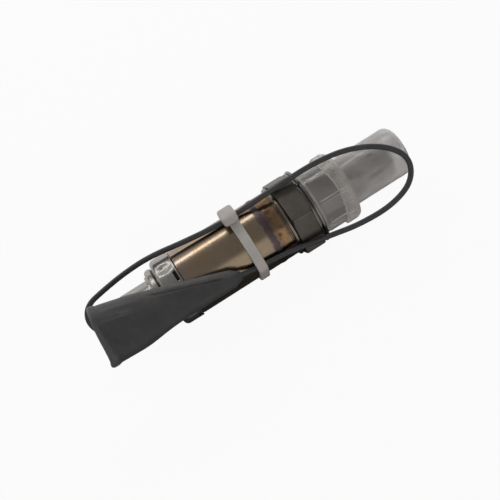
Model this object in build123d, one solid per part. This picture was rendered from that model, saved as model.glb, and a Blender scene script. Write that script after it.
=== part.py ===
"""Unheated oxygen sensor, new and ready to ship: the sensor, a push-on cap over its thread and tip,
and its lead folded back along the body and tied to it, with a rubber boot on the lead's end.

Every piece is drawn in the sensor's own directions, in millimetres: x along the axis, 0 at the seat
(the gasket's front face) and positive towards the tip, z towards the side where the boot lies, and
y across. lay_down then turns the whole so that it lies on level ground, +Z up, with the seat's
centre still at the origin.
"""
import math
import os

from build123d import *

# Hex shell, M18 x 1.5 thread on a 22 mm hexagon
HEX_FLATS = 22.0
HEX_LENGTH = 7.8
HEX_CORNER_CUT = 1.7
HEX_FACE_STEP = 0.3
HEX_CROWN = 0.06
HEX_TURN = 8.3
THREAD_R = 9.0
THREAD_BLANK_R = 8.5
SHANK_LENGTH = 9.4
THREAD_RELIEF = 0.5
NOSE_R = 7.4
NOSE_LENGTH = 1.0
COLLAR_LENGTH = 8.0
PACKING_BORE_R = 6.6
SHOULDER_BORE_R = 5.0
SHOULDER_X = -1.2

# Crush gasket under the hexagon
GASKET_R = 11.75
GASKET_BORE_R = 9.15
GASKET_THICKNESS = 1.8
GASKET_FOLD = 0.3

# Slotted protection tube over the tip
SHIELD_R = 5.6
SHIELD_WALL = 0.5
SHIELD_END_X = 27.6
SHIELD_FLANGE_R = 6.5
SHIELD_FLANGE = 1.0
SLOT_COUNT = 6
SLOT_WIDTH = 1.2
SLOT_LENGTH = 5.0
SLOT_ROWS_X = (13.4, 20.4)
TIP_HOLE_R = 0.9

# Ceramic sensing thimble and what seals it
THIMBLE_TIP_GAP = 3.2
THIMBLE_TIP_R = 2.9
THIMBLE_ROOT_R = 4.2
THIMBLE_COLLAR_R = 6.4
THIMBLE_COLLAR = 2.6
THIMBLE_NECK_R = 4.5
THIMBLE_NECK = 7.6
THIMBLE_BORE_R = 2.3
SEAT_WASHER = 0.5
TALC_LENGTH = 3.6

# Ceramic tube, contact and spring inside the sleeve
CERAMIC_GAP = 1.2
CERAMIC_SPIGOT_END = 0.4
CERAMIC_BORE_R = 1.8
STEM_R = 1.5
STEM_HEAD_R = 3.8
STEM_HEAD = 0.9
STEM_PLUG = 8.0
SPRING_HOLE_R = 4.2
SPRING_THICKNESS = 0.5
SPRING_RISE = 0.9

# Protective sleeve
SLEEVE_R = 10.2
SLEEVE_WALL = 0.6
SLEEVE_LENGTH = 32.8
SLEEVE_STEP = 1.8
FILTER_LENGTH = 4.2
FILTER_GAP = 0.7
SLEEVE_NECK_LENGTH = 5.0
SLEEVE_ROUND = 0.7
WELD_X = -14.6
WELD_WIDTH = 1.7
WELD_HEIGHT = 0.12

# Rear ferrule: big ring, one rib and the tube that grips the grommet
RING_PROUD = 0.3
RING_LENGTH = 5.6
RING_ROUND = 1.4
FERRULE_WALL = 0.6
VALLEY_DEPTH = 2.5
RIB_PROUD = 0.9
RIB_LENGTH = 2.4
TUBE_R = 6.5
TUBE_LENGTH = 9.3
DIMPLE_COUNT = 4
DIMPLE_R = 1.9
DIMPLE_DEPTH = 0.45
DIMPLE_ANGLE = 37.0
DIMPLE_FROM_SLEEVE = 3.1
VENT_ANGLE = 16.0
VENT_WIDTH = 0.8
VENT_LENGTH = 3.2
SPRING_EDGE_GAP = 0.5

# Grommet, insulating bush and the clip on the lead's inner end
GROMMET_LENGTH = 7.4
GROMMET_PROUD = 0.8
BUSH_BORE_R = 2.6
CLIP_R = 2.3
CLIP_WALL = 0.35
CLIP_LENGTH = 5.0
CRIMP_LENGTH = 3.2

# Lead
LEAD_R = 0.8
ROUTE_SHARE = 0.45
LEAD_ROUTE = [
    (-61.0, 0.0, 0.0),
    (-62.6, 0.0, 0.0),
    (-66.8, -1.0, -0.25),
    (-70.4, 1.25, 0.35),
    (-71.4, 5.5, 1.45),
    (-68.8, 9.3, 2.45),
    (-62.8, 10.4, 3.25),
    (-55.5, 11.3, 4.4),
    (-47.0, 11.5, 5.35),
    (-36.0, 9.75, 6.3),
    (-26.0, 8.65, 6.95),
    (-18.4, 8.7, 6.9),
    (-11.5, 8.8, 9.4),
    (-4.0, 8.95, 9.9),
    (5.5, 9.0, 11.0),
    (15.5, 7.4, 12.8),
    (24.3, 2.8, 14.1),
    (28.9, -3.6, 14.2),
    (26.0, -10.0, 13.2),
    (18.0, -12.7, 11.4),
    (8.0, -12.4, 9.5),
    (0.0, -10.8, 8.2),
    (-7.5, -9.3, 8.2),
    (-14.5, -8.1, 7.8),
    (-20.5, -7.55, 8.1),
    (-25.0, -7.05, 8.85),
    (-28.2, -6.6, 10.95),
    (-30.7, -6.15, 11.45),
]

# Rubber boot: along its length, its centre's y, its centre's height over the sleeve, width, thickness
BOOT_END_X = -30.7
BOOT_LENGTH = 37.8
BOOT_STATIONS = [
    (0.00, -6.15, 1.25, 5.2, 4.0),
    (0.25, -4.50, 2.60, 8.2, 4.9),
    (0.50, -2.95, 4.25, 11.3, 6.5),
    (0.75, -1.65, 6.35, 14.7, 8.6),
    (1.00, -0.75, 9.00, 16.5, 10.3),
]
BOOT_WALL = 1.3
BOOT_CAVITY = 0.5

# Terminal inside the boot
TERMINAL_WIDTH = 6.8
TERMINAL_HEIGHT = 2.8
TERMINAL_LENGTH = 9.5
TERMINAL_SHEET = 0.4
TERMINAL_GAP = 1.6
BARREL_R = 1.35
BARREL_LENGTH = 4.0
BARREL_STRAP = 2.2
TERMINAL_AHEAD = 0.6

# Cable tie
TIE_X = -21.8
TIE_WIDTH = 2.9
TIE_THICKNESS = 1.1
TIE_ROUND = 0.3
HEAD_LENGTH = 4.7
HEAD_WIDTH = 4.6
HEAD_HEIGHT = 3.2
HEAD_ANGLE = 42.0
HEAD_SHIFT = -0.6
HEAD_EDGE = 0.5

# Push-on cap
CAP_WALL = 0.8
CAP_FIT = 0.15
CAP_SKIRT_LENGTH = 8.2
CAP_BAND_R = 10.2
CAP_BAND_LENGTH = 3.7
CAP_BAND_ROUND = 1.6
CAP_NARROW_R = 7.3
CAP_AHEAD = 3.7
CAP_END_ROUND = 2.2
CAP_RIB_COUNT = 8
CAP_RIB_ANGLE = -9.5
CAP_RIB_WIDTH = 0.8
CAP_RIB_HEIGHT = 0.25

# Clearance between pieces that touch on the real one
FIT = 0.05
ROUND_STEPS = 3

# Places that follow from the sizes
HEX_CORNER_R = HEX_FLATS / math.sqrt(3)
HEX_FRONT_X = -GASKET_THICKNESS
HEX_REAR_X = HEX_FRONT_X - HEX_LENGTH
THIMBLE_TIP_X = SHIELD_END_X - THIMBLE_TIP_GAP
CAP_END_X = SHIELD_END_X + CAP_AHEAD
SLEEVE_BORE_R = SLEEVE_R - SLEEVE_WALL
SLEEVE_NECK_R = SLEEVE_R - SLEEVE_STEP
CERAMIC_R = SLEEVE_BORE_R - CERAMIC_GAP
COLLAR_R = SLEEVE_BORE_R - FIT
RING_R = SLEEVE_R + RING_PROUD
VALLEY_R = RING_R - VALLEY_DEPTH
RIB_R = VALLEY_R + RIB_PROUD
FILTER_R = RING_R - FERRULE_WALL - FILTER_GAP
COLLAR_END_X = HEX_REAR_X - COLLAR_LENGTH
SLEEVE_END_X = HEX_REAR_X - SLEEVE_LENGTH
WASHER_X = SHOULDER_X - SEAT_WASHER
COLLAR_BACK_X = WASHER_X - THIMBLE_COLLAR
TALC_END_X = COLLAR_BACK_X - TALC_LENGTH
THIMBLE_END_X = COLLAR_BACK_X - THIMBLE_NECK
SLEEVE_SHOULDER_X = SLEEVE_END_X + SLEEVE_WALL
SPRING_HEIGHT = SPRING_THICKNESS + SPRING_RISE
CERAMIC_END_X = SLEEVE_SHOULDER_X + SPRING_HEIGHT
NECK_END_X = SLEEVE_END_X - SLEEVE_NECK_LENGTH
FILTER_END_X = NECK_END_X + SLEEVE_NECK_LENGTH - FILTER_LENGTH
RING_END_X = SLEEVE_END_X - RING_LENGTH
RIB_FRONT_X = RING_END_X - 0.5
RIB_END_X = RIB_FRONT_X - RIB_LENGTH
TUBE_END_X = RIB_END_X - TUBE_LENGTH
GROMMET_END_X = TUBE_END_X - GROMMET_PROUD
GROMMET_FRONT_X = GROMMET_END_X - GROMMET_PROUD + GROMMET_LENGTH
BOOT_MOUTH_X = BOOT_END_X - BOOT_LENGTH
SKIRT_R = THREAD_R + CAP_FIT + CAP_WALL
SKIRT_END_X = CAP_FIT + CAP_SKIRT_LENGTH
BAND_END_X = SKIRT_END_X + CAP_BAND_LENGTH


def rounded_corner(before, corner, after, radius):
    """The points of a rounded corner of an outline, in a few straight steps."""
    corner = Vector(*corner)
    back, ahead = (Vector(*before) - corner).normalized(), (Vector(*after) - corner).normalized()
    opening = math.radians(back.get_angle(ahead))
    centre = corner + (back + ahead).normalized() * (radius / math.sin(opening / 2))
    reach = radius / math.tan(opening / 2)
    start, end = corner + back * reach - centre, corner + ahead * reach - centre
    points = []
    for step in range(ROUND_STEPS + 1):
        share = step / ROUND_STEPS
        spoke = start * math.sin((1 - share) * (math.pi - opening)) + end * math.sin(share * (math.pi - opening))
        point = centre + spoke.normalized() * radius
        points.append((point.X, point.Y))
    return points


def turned(points, rounds=()):
    """A solid of revolution round the x axis. rounds lists (x, r, radius) for corners to round."""
    outline = []
    for k, point in enumerate(points):
        radius = [size for x, r, size in rounds if math.dist((x, r), point) < 0.01]
        if radius:
            outline += rounded_corner(points[k - 1], point, points[(k + 1) % len(points)], radius[0])
        else:
            outline.append(point)
    section = make_face(Polyline([(x, r, 0) for x, r in outline], close=True))
    return revolve(section, Axis.X, 360)


def crowned(start, end):
    """A lathe cut from start to end that bulges outwards a little."""
    run, rise = end[0] - start[0], end[1] - start[1]
    length = math.hypot(run, rise)
    middle = (start[0] + end[0]) / 2 - rise / length * HEX_CROWN, (start[1] + end[1]) / 2 + run / length * HEX_CROWN
    return ThreePointArc(start, middle, end)


def rod(x_from, x_to, radius):
    """A round bar on the axis."""
    low, high = min(x_from, x_to), max(x_from, x_to)
    return Plane.YZ.offset(low) * extrude(Circle(radius), high - low)


def around(shape, angle):
    """Turns a shape round the axis, from the z side towards +y."""
    return shape.rotate(Axis.X, -angle)


def hex_shell():
    """Hexagon, threaded shank, nose and the collar that the sleeve is welded to."""
    rear = (HEX_REAR_X, SLEEVE_R + HEX_FACE_STEP), (HEX_REAR_X + HEX_CORNER_CUT, HEX_CORNER_R)
    front = (HEX_FRONT_X - 0.5, HEX_CORNER_R), (HEX_FRONT_X, HEX_CORNER_R - 0.9)
    blank = revolve(make_face([
        Line((HEX_REAR_X, 0), rear[0]), crowned(*rear), Line(rear[1], front[0]), crowned(*front),
        Line(front[1], (HEX_FRONT_X, 0)), Line((HEX_FRONT_X, 0), (HEX_REAR_X, 0)),
    ]), Axis.X, 360)
    prism = Plane.YZ.offset(HEX_REAR_X) * extrude(RegularPolygon(HEX_CORNER_R, 6), HEX_LENGTH)
    hexagon = prism.rotate(Axis.X, 90 + HEX_TURN) & blank
    turned_part = turned([
        (COLLAR_END_X, 0), (COLLAR_END_X, COLLAR_R - 0.5), (COLLAR_END_X + 0.5, COLLAR_R),
        (HEX_REAR_X + 1, COLLAR_R), (HEX_REAR_X + 1, THREAD_BLANK_R - THREAD_RELIEF),
        (THREAD_RELIEF * 2, THREAD_BLANK_R - THREAD_RELIEF), (THREAD_RELIEF * 3, THREAD_BLANK_R),
        (SHANK_LENGTH - 1, THREAD_BLANK_R), (SHANK_LENGTH, NOSE_R),
        (SHANK_LENGTH + NOSE_LENGTH, NOSE_R - 0.4), (SHANK_LENGTH + NOSE_LENGTH, 0),
    ])
    bore = turned([
        (COLLAR_END_X - 1, 0), (COLLAR_END_X - 1, PACKING_BORE_R), (SHOULDER_X, PACKING_BORE_R),
        (SHOULDER_X, SHOULDER_BORE_R), (SHANK_LENGTH - SHIELD_FLANGE, SHOULDER_BORE_R),
        (SHANK_LENGTH - SHIELD_FLANGE, SHIELD_FLANGE_R + FIT), (SHANK_LENGTH, SHIELD_FLANGE_R + FIT),
        (SHANK_LENGTH, SHIELD_R + FIT), (SHANK_LENGTH + NOSE_LENGTH + 1, SHIELD_R + FIT),
        (SHANK_LENGTH + NOSE_LENGTH + 1, 0),
    ])
    return hexagon + turned_part - bore


def sealing_gasket():
    """A folded sheet ring: full round outside, open fold inside."""
    half = GASKET_THICKNESS / 2
    ring = turned([
        (-GASKET_THICKNESS, GASKET_BORE_R), (-GASKET_THICKNESS, GASKET_R),
        (0, GASKET_R), (0, GASKET_BORE_R),
    ], [(-GASKET_THICKNESS, GASKET_R, half * 0.96), (0, GASKET_R, half * 0.96)])
    fold = turned([
        (-half - GASKET_FOLD / 2, GASKET_BORE_R - 1), (-half - GASKET_FOLD / 2, GASKET_R - 1),
        (-half + GASKET_FOLD / 2, GASKET_R - 1), (-half + GASKET_FOLD / 2, GASKET_BORE_R - 1),
    ])
    return ring - fold


def slotted_shield():
    """Protection tube with two rows of slots and a hole in its domed end, flanged in the shell's nose."""
    inner_r = SHIELD_R - SHIELD_WALL
    flange_x = SHANK_LENGTH - SHIELD_FLANGE
    tube = turned([
        (flange_x, inner_r), (flange_x, SHIELD_FLANGE_R), (SHANK_LENGTH - FIT, SHIELD_FLANGE_R),
        (SHANK_LENGTH - FIT, SHIELD_R), (SHIELD_END_X, SHIELD_R), (SHIELD_END_X, TIP_HOLE_R),
        (SHIELD_END_X - SHIELD_WALL, TIP_HOLE_R), (SHIELD_END_X - SHIELD_WALL, inner_r),
    ], [(SHIELD_END_X, SHIELD_R, 1.5), (SHIELD_END_X - SHIELD_WALL, inner_r, 1.0)])
    slot = extrude(Rectangle(SLOT_LENGTH, SLOT_WIDTH), SHIELD_R + 2)
    for row, x in enumerate(SLOT_ROWS_X):
        for k in range(SLOT_COUNT):
            turn = (k + row / 2) * 360 / SLOT_COUNT
            tube -= around(Pos(x, 0, 0) * slot, turn)
    return tube


def zirconia_thimble():
    """Closed ceramic thimble with a sealing collar, open to the rear."""
    outer = turned([
        (THIMBLE_END_X, 0), (THIMBLE_END_X, THIMBLE_NECK_R), (COLLAR_BACK_X, THIMBLE_NECK_R),
        (COLLAR_BACK_X, THIMBLE_COLLAR_R), (WASHER_X, THIMBLE_COLLAR_R), (WASHER_X, THIMBLE_ROOT_R),
        (THIMBLE_TIP_X, THIMBLE_TIP_R), (THIMBLE_TIP_X, 0),
    ], [(THIMBLE_TIP_X, THIMBLE_TIP_R, THIMBLE_TIP_R * 0.9)])
    bore = turned([
        (THIMBLE_END_X - 1, 0), (THIMBLE_END_X - 1, THIMBLE_BORE_R),
        (THIMBLE_TIP_X - 1.6, THIMBLE_TIP_R - 1.3), (THIMBLE_TIP_X - 1.6, 0),
    ])
    return outer - bore


def seat_washer():
    """Metal ring between the shell's shoulder and the thimble's collar."""
    return turned([
        (WASHER_X, SHOULDER_BORE_R), (WASHER_X, PACKING_BORE_R - FIT),
        (SHOULDER_X, PACKING_BORE_R - FIT), (SHOULDER_X, SHOULDER_BORE_R),
    ])


def talc_ring():
    """Pressed powder packing behind the thimble's collar."""
    return turned([
        (TALC_END_X, THIMBLE_NECK_R + FIT), (TALC_END_X, PACKING_BORE_R - FIT),
        (COLLAR_BACK_X, PACKING_BORE_R - FIT), (COLLAR_BACK_X, THIMBLE_NECK_R + FIT),
    ])


def ceramic_tube():
    """Support tube: a spigot that presses on the packing, and a body that fills the sleeve."""
    spigot_r = PACKING_BORE_R - FIT
    body_x = COLLAR_END_X - FIT
    head_x = THIMBLE_END_X - STEM_HEAD - FIT
    outer = turned([
        (CERAMIC_END_X, CERAMIC_BORE_R), (CERAMIC_END_X, CERAMIC_R), (body_x, CERAMIC_R),
        (body_x, spigot_r), (TALC_END_X, spigot_r), (TALC_END_X, THIMBLE_NECK_R + FIT),
        (head_x, THIMBLE_NECK_R + FIT), (head_x, CERAMIC_BORE_R),
    ])
    return outer


def contact_stem():
    """Contact: a plug in the thimble, a head on its rim and a pin to the rear."""
    pin_end_x = SLEEVE_END_X - CLIP_LENGTH
    head_back_x = THIMBLE_END_X - STEM_HEAD
    plug_r = THIMBLE_BORE_R - 0.45
    return turned([
        (pin_end_x, 0), (pin_end_x, STEM_R), (head_back_x, STEM_R), (head_back_x, STEM_HEAD_R),
        (THIMBLE_END_X, STEM_HEAD_R), (THIMBLE_END_X, plug_r),
        (THIMBLE_END_X + STEM_PLUG, plug_r - 0.2), (THIMBLE_END_X + STEM_PLUG, 0),
    ])


def disc_spring():
    """Cone washer that holds the ceramic tube forward against the sleeve's shoulder."""
    outer_r = SLEEVE_BORE_R - SPRING_EDGE_GAP
    front_x = CERAMIC_END_X - FIT
    back_x = SLEEVE_SHOULDER_X + FIT
    return turned([
        (front_x, SPRING_HOLE_R), (front_x - SPRING_THICKNESS, SPRING_HOLE_R),
        (back_x, outer_r), (back_x + SPRING_THICKNESS, outer_r),
    ])


def protective_sleeve():
    """Long deep-drawn sleeve with its weld seam, stepped down at the rear under the ferrule."""
    inner_r = SLEEVE_R - SLEEVE_WALL
    neck_inner_r = SLEEVE_NECK_R - SLEEVE_WALL
    sleeve = turned([
        (NECK_END_X, neck_inner_r), (NECK_END_X, SLEEVE_NECK_R), (SLEEVE_END_X, SLEEVE_NECK_R),
        (SLEEVE_END_X, SLEEVE_R), (HEX_REAR_X, SLEEVE_R), (HEX_REAR_X, inner_r),
        (SLEEVE_SHOULDER_X, inner_r), (SLEEVE_SHOULDER_X, neck_inner_r),
    ], [(SLEEVE_END_X, SLEEVE_R, SLEEVE_ROUND)])
    half = WELD_WIDTH / 2
    bead = turned([
        (WELD_X - half, SLEEVE_R - 0.2), (WELD_X - half, SLEEVE_R),
        (WELD_X - half * 0.6, SLEEVE_R + WELD_HEIGHT), (WELD_X + half * 0.6, SLEEVE_R + WELD_HEIGHT),
        (WELD_X + half, SLEEVE_R), (WELD_X + half, SLEEVE_R - 0.2),
    ])
    return sleeve + bead


def vent_filter():
    """Porous ring round the sleeve's neck, behind the ferrule's vents."""
    return turned([
        (FILTER_END_X, SLEEVE_NECK_R + FIT), (FILTER_END_X, FILTER_R), (SLEEVE_END_X - FIT, FILTER_R),
        (SLEEVE_END_X - FIT, SLEEVE_NECK_R + FIT),
    ])


def ferrule_line(inset):
    """Outline of the ferrule from front to rear; the inner face is the same line, one wall in."""
    front = SLEEVE_END_X
    ring_end = RING_END_X + inset
    rib_front = RIB_FRONT_X - inset
    rib_end = RIB_END_X + inset
    return [
        (front, RING_R - inset), (ring_end, RING_R - inset), (ring_end, VALLEY_R - inset),
        (rib_front, VALLEY_R - inset), (rib_front, RIB_R - inset), (rib_end, RIB_R - inset),
        (rib_end, TUBE_R - inset), (TUBE_END_X, TUBE_R - inset),
    ]


def rear_ferrule():
    """Thin drawn ferrule with a ring, a rib and a tube, crimp dimples and vents in its ring."""
    wall = FERRULE_WALL
    outer_line = ferrule_line(0)
    inner_line = ferrule_line(wall)
    rib_round = RIB_LENGTH * 0.45
    outer = turned(
        [(SLEEVE_END_X, 0)] + outer_line + [(TUBE_END_X, 0)],
        [(RING_END_X, RING_R, RING_ROUND), (RIB_FRONT_X, RIB_R, 0.5), (RIB_END_X, RIB_R, rib_round)])
    soft = RING_ROUND - wall
    inner_line[1:2] = [(inner_line[1][0] + soft, inner_line[1][1]), (inner_line[1][0], inner_line[1][1] - soft)]
    inner = turned([(SLEEVE_END_X, 0)] + inner_line + [(TUBE_END_X, 0)])
    ferrule = outer - inner
    dimple_x = SLEEVE_END_X - DIMPLE_FROM_SLEEVE
    dimple = Pos(dimple_x, 0, RING_R + DIMPLE_R - DIMPLE_DEPTH) * Sphere(DIMPLE_R)
    for k in range(DIMPLE_COUNT):
        ferrule -= around(dimple, DIMPLE_ANGLE + k * 360 / DIMPLE_COUNT)
    vent = extrude(Rectangle(VENT_WIDTH, VENT_LENGTH), RING_R + 1)
    for k in range(DIMPLE_COUNT):
        turn = VENT_ANGLE + k * 360 / DIMPLE_COUNT
        hole = Pos(SLEEVE_END_X - VENT_WIDTH, 0, 0) * vent
        ferrule -= around(hole, turn) - rod(SLEEVE_END_X, RING_END_X, RING_R - wall - 0.1)
    return ferrule


def insulating_bush():
    """Stepped insulator round the clip, in the sleeve's neck and the ferrule's tube."""
    neck_r = SLEEVE_NECK_R - SLEEVE_WALL - FIT
    tube_r = TUBE_R - FERRULE_WALL - FIT
    return turned([
        (GROMMET_FRONT_X + FIT, BUSH_BORE_R), (GROMMET_FRONT_X + FIT, tube_r),
        (NECK_END_X, tube_r), (NECK_END_X, neck_r), (SLEEVE_END_X, neck_r), (SLEEVE_END_X, BUSH_BORE_R),
    ])


def lead_clip():
    """Rolled clip: a slotted socket on the contact's pin and a crimp on the lead."""
    socket_front_x = SLEEVE_END_X - 1.0
    socket_back_x = socket_front_x - CLIP_LENGTH
    crimp_back_x = socket_back_x - CRIMP_LENGTH
    outer = turned([
        (crimp_back_x, LEAD_R), (crimp_back_x, LEAD_R + CLIP_WALL), (socket_back_x - 0.8, LEAD_R + CLIP_WALL),
        (socket_back_x, CLIP_R), (socket_front_x, CLIP_R), (socket_front_x, STEM_R + FIT),
        (socket_back_x, STEM_R + FIT), (socket_back_x, LEAD_R),
    ])
    slot = Pos(socket_front_x, 0, CLIP_R) * Box(CLIP_LENGTH, 0.7, CLIP_R)
    return outer - slot


def lead_grommet():
    """Rubber plug that the ferrule's tube grips, with the lead through it."""
    grip_r = TUBE_R - FERRULE_WALL - FIT
    return turned([
        (GROMMET_END_X, LEAD_R + FIT), (GROMMET_END_X, grip_r - 1.6), (TUBE_END_X, grip_r - 0.4),
        (TUBE_END_X + 0.4, grip_r), (GROMMET_FRONT_X, grip_r), (GROMMET_FRONT_X, LEAD_R + FIT),
    ])


def lead_inner_end():
    """The lead's straight stretch from the clip to the grommet's face."""
    return rod(SLEEVE_END_X - 1.0 - CLIP_LENGTH, GROMMET_END_X, LEAD_R)


def route_radii(points):
    """The arc at each corner: a share of the shorter run, over the tangent of half the turn."""
    radii = []
    for before, corner, after in zip(points, points[1:], points[2:]):
        run_in = Vector(*corner) - Vector(*before)
        run_out = Vector(*after) - Vector(*corner)
        turn = math.radians(run_in.get_angle(run_out))
        radii.append(ROUTE_SHARE * min(run_in.length, run_out.length) / math.tan(turn / 2))
    return radii


def lead_along(points):
    """A round lead swept along straight runs and tangent arcs."""
    radii = route_radii(points)
    path = FilletPolyline(points, radius=radii)
    start = Plane(origin=path @ 0, z_dir=path % 0)
    lead = sweep(start * Circle(LEAD_R), path)
    return lead, path, radii


def lead_wire():
    """The free lead, from the grommet round both loops to the boot."""
    lead, path, radii = lead_along(LEAD_ROUTE)
    print("lead length", round(path.length, 1), "volume share",
          round(lead.volume / (path.length * math.pi * LEAD_R ** 2), 4))
    print("lead radii", [round(r, 1) for r in radii])
    return lead


def boot_centre(share):
    """The middle of the boot at a station: x, y and z."""
    shares = [s[0] for s in BOOT_STATIONS]
    k = shares.index(share)
    return Vector(BOOT_END_X - share * BOOT_LENGTH, BOOT_STATIONS[k][1], SLEEVE_R + BOOT_STATIONS[k][2])


def boot_plane(k):
    """A plane square to the boot's middle line at one station, its x across the boot."""
    centres = [boot_centre(s[0]) for s in BOOT_STATIONS]
    before = centres[max(k - 1, 0)]
    after = centres[min(k + 1, len(centres) - 1)]
    return Plane(origin=centres[k], x_dir=(0, 1, 0), z_dir=(after - before).normalized())


def boot_section(k, inset):
    """The boot's rounded section at one station, less a wall."""
    width = BOOT_STATIONS[k][3] - 2 * inset
    thickness = BOOT_STATIONS[k][4] - 2 * inset
    return boot_plane(k) * RectangleRounded(width, thickness, thickness * 0.48)


def boot_lead_points():
    """The lead's way inside the boot: from its small end to where the boot turns hollow."""
    return [tuple(boot_centre(s[0])) for s in BOOT_STATIONS if s[0] <= 1 - BOOT_CAVITY]


def terminal_plane():
    """A plane square to the end of the lead in the boot, its x across the boot."""
    before, end = [Vector(*p) for p in boot_lead_points()[-2:]]
    return Plane(origin=end, x_dir=(0, 1, 0), z_dir=(end - before).normalized())


def lead_boot_end():
    """The lead inside the boot, up to the terminal's barrel."""
    return lead_along(boot_lead_points())[0]


def connector_boot():
    """Flat bell of soft rubber: solid round the lead, hollow from the terminal to its mouth."""
    last = len(BOOT_STATIONS) - 1
    outer = loft([boot_section(k, 0) for k in range(last + 1)], ruled=True)
    hollow_from = [k for k in range(last + 1) if BOOT_STATIONS[k][0] >= 1 - BOOT_CAVITY]
    sections = [boot_section(k, BOOT_WALL) for k in hollow_from]
    mouth = boot_plane(last)
    beyond = mouth.offset(1.0) * RectangleRounded(
        BOOT_STATIONS[last][3] - 2 * BOOT_WALL, BOOT_STATIONS[last][4] - 2 * BOOT_WALL,
        (BOOT_STATIONS[last][4] - 2 * BOOT_WALL) * 0.48)
    cavity = loft(sections + [beyond], ruled=True)
    pocket_r = math.hypot(BARREL_STRAP, TERMINAL_HEIGHT) / 2 + FIT
    pocket = terminal_plane() * Pos(0, 0, -BARREL_LENGTH) * extrude(Circle(pocket_r), BARREL_LENGTH + 1)
    return outer - cavity - pocket - lead_boot_end()


def boot_receptacle():
    """Folded blade receptacle with two rolled sides and a crimped barrel on the lead's end."""
    plane = terminal_plane()
    width, height, sheet = TERMINAL_WIDTH, TERMINAL_HEIGHT, TERMINAL_SHEET
    fold = height * 0.4
    outline = RectangleRounded(width, height, fold) - RectangleRounded(
        width - 2 * sheet, height - 2 * sheet, fold - sheet)
    outline -= Pos(0, height / 2) * Rectangle(TERMINAL_GAP, sheet * 3)
    body = Pos(0, 0, TERMINAL_AHEAD) * extrude(outline, TERMINAL_LENGTH)
    strap_length = BARREL_LENGTH * 0.8 + TERMINAL_AHEAD + 0.1
    floor_sheet = Pos(0, -height / 2 + sheet / 2, TERMINAL_AHEAD + 0.1 - strap_length / 2) * Box(
        BARREL_STRAP, sheet, strap_length)
    barrel = Pos(0, 0, -BARREL_LENGTH) * extrude(Circle(BARREL_R) - Circle(LEAD_R + FIT), BARREL_LENGTH * 0.8)
    return plane * (body + floor_sheet + barrel)


def lead_at(x, first, last):
    """Where a straight run of the lead between two route points crosses a plane square to the axis."""
    a, b = Vector(*LEAD_ROUTE[first]), Vector(*LEAD_ROUTE[last])
    share = (x - a.X) / (b.X - a.X)
    point = a + (b - a) * share
    return point.Y, point.Z


def cable_tie():
    """One moulded tie: a strap pulled tight round the sleeve and both legs of the lead, and its head."""
    upper = lead_at(TIE_X, 10, 11)
    lower = lead_at(TIE_X, 24, 25)

    def round_bundle(gap):
        leg = Circle(LEAD_R + 2 * FIT + gap)
        bundle = [Circle(SLEEVE_R + gap), Pos(*upper) * leg, Pos(*lower) * leg]
        return make_hull([edge for circle in bundle for edge in circle.edges()])

    strap_section = round_bundle(FIT + TIE_THICKNESS) - round_bundle(FIT)
    across = Plane(origin=(TIE_X - TIE_WIDTH / 2, 0, 0), x_dir=(0, 1, 0), z_dir=(1, 0, 0))
    strap = across * extrude(strap_section, TIE_WIDTH)
    seat_r = SLEEVE_R + 2 * LEAD_R + 2 * FIT + TIE_THICKNESS / 2
    head = Pos(TIE_X + HEAD_SHIFT, 0, seat_r + HEAD_HEIGHT / 2) * Box(HEAD_WIDTH, HEAD_LENGTH, HEAD_HEIGHT)
    head = chamfer(head.faces().sort_by(Axis.Z)[-1].edges(), HEAD_EDGE)
    return strap + around(head, HEAD_ANGLE)


def thread_cap():
    """Translucent cap: ribbed skirt over the thread, a band, and a narrow closed end over the tip."""
    narrow_inner_r = CAP_NARROW_R - CAP_WALL
    skirt_inner_r = SKIRT_R - CAP_WALL
    cap = turned([
        (CAP_FIT, skirt_inner_r), (CAP_FIT, SKIRT_R), (SKIRT_END_X, SKIRT_R), (SKIRT_END_X, CAP_BAND_R),
        (BAND_END_X, CAP_BAND_R), (BAND_END_X, CAP_NARROW_R), (CAP_END_X, CAP_NARROW_R), (CAP_END_X, 0),
        (CAP_END_X - CAP_WALL, 0), (CAP_END_X - CAP_WALL, narrow_inner_r),
        (BAND_END_X - CAP_WALL, narrow_inner_r), (BAND_END_X - CAP_WALL, skirt_inner_r),
    ], [(BAND_END_X, CAP_BAND_R, CAP_BAND_ROUND), (CAP_END_X, CAP_NARROW_R, CAP_END_ROUND),
        (CAP_END_X - CAP_WALL, narrow_inner_r, CAP_END_ROUND - CAP_WALL)])
    length = SKIRT_END_X - CAP_FIT - 1
    rib = Pos(CAP_FIT + 1 + length / 2, 0, SKIRT_R) * Box(length, CAP_RIB_WIDTH, 2 * CAP_RIB_HEIGHT)
    for k in range(CAP_RIB_COUNT):
        cap += around(rib, CAP_RIB_ANGLE + k * 360 / CAP_RIB_COUNT)
    return cap


def rest_pitch():
    """The nose rises until the gasket and the ferrule's ring both touch level ground."""
    return math.degrees(math.atan2(GASKET_R - RING_R, HEX_FRONT_X / 2 - RING_END_X - RING_ROUND))


def rest_roll():
    """The sensor rolls until a lower corner of the hexagon touches that ground too."""
    corner_x = HEX_REAR_X + HEX_CORNER_CUT
    ground = GASKET_R - (HEX_FRONT_X / 2 - corner_x) * math.tan(math.radians(rest_pitch()))
    touching = math.degrees(math.asin(ground / HEX_CORNER_R))
    return 90 + touching - (HEX_TURN + 120)


def lay_down(shape):
    """Turns a piece from the sensor's own directions to where it lies on level ground."""
    return shape.rotate(Axis.X, rest_roll()).rotate(Axis.Y, -rest_pitch())


PIECES = [
    hex_shell, sealing_gasket, slotted_shield, zirconia_thimble, seat_washer, talc_ring, ceramic_tube,
    contact_stem, disc_spring, protective_sleeve, vent_filter, rear_ferrule, insulating_bush, lead_clip,
    lead_grommet, lead_inner_end, lead_wire, lead_boot_end, connector_boot, boot_receptacle, cable_tie,
    thread_cap,
]

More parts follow.
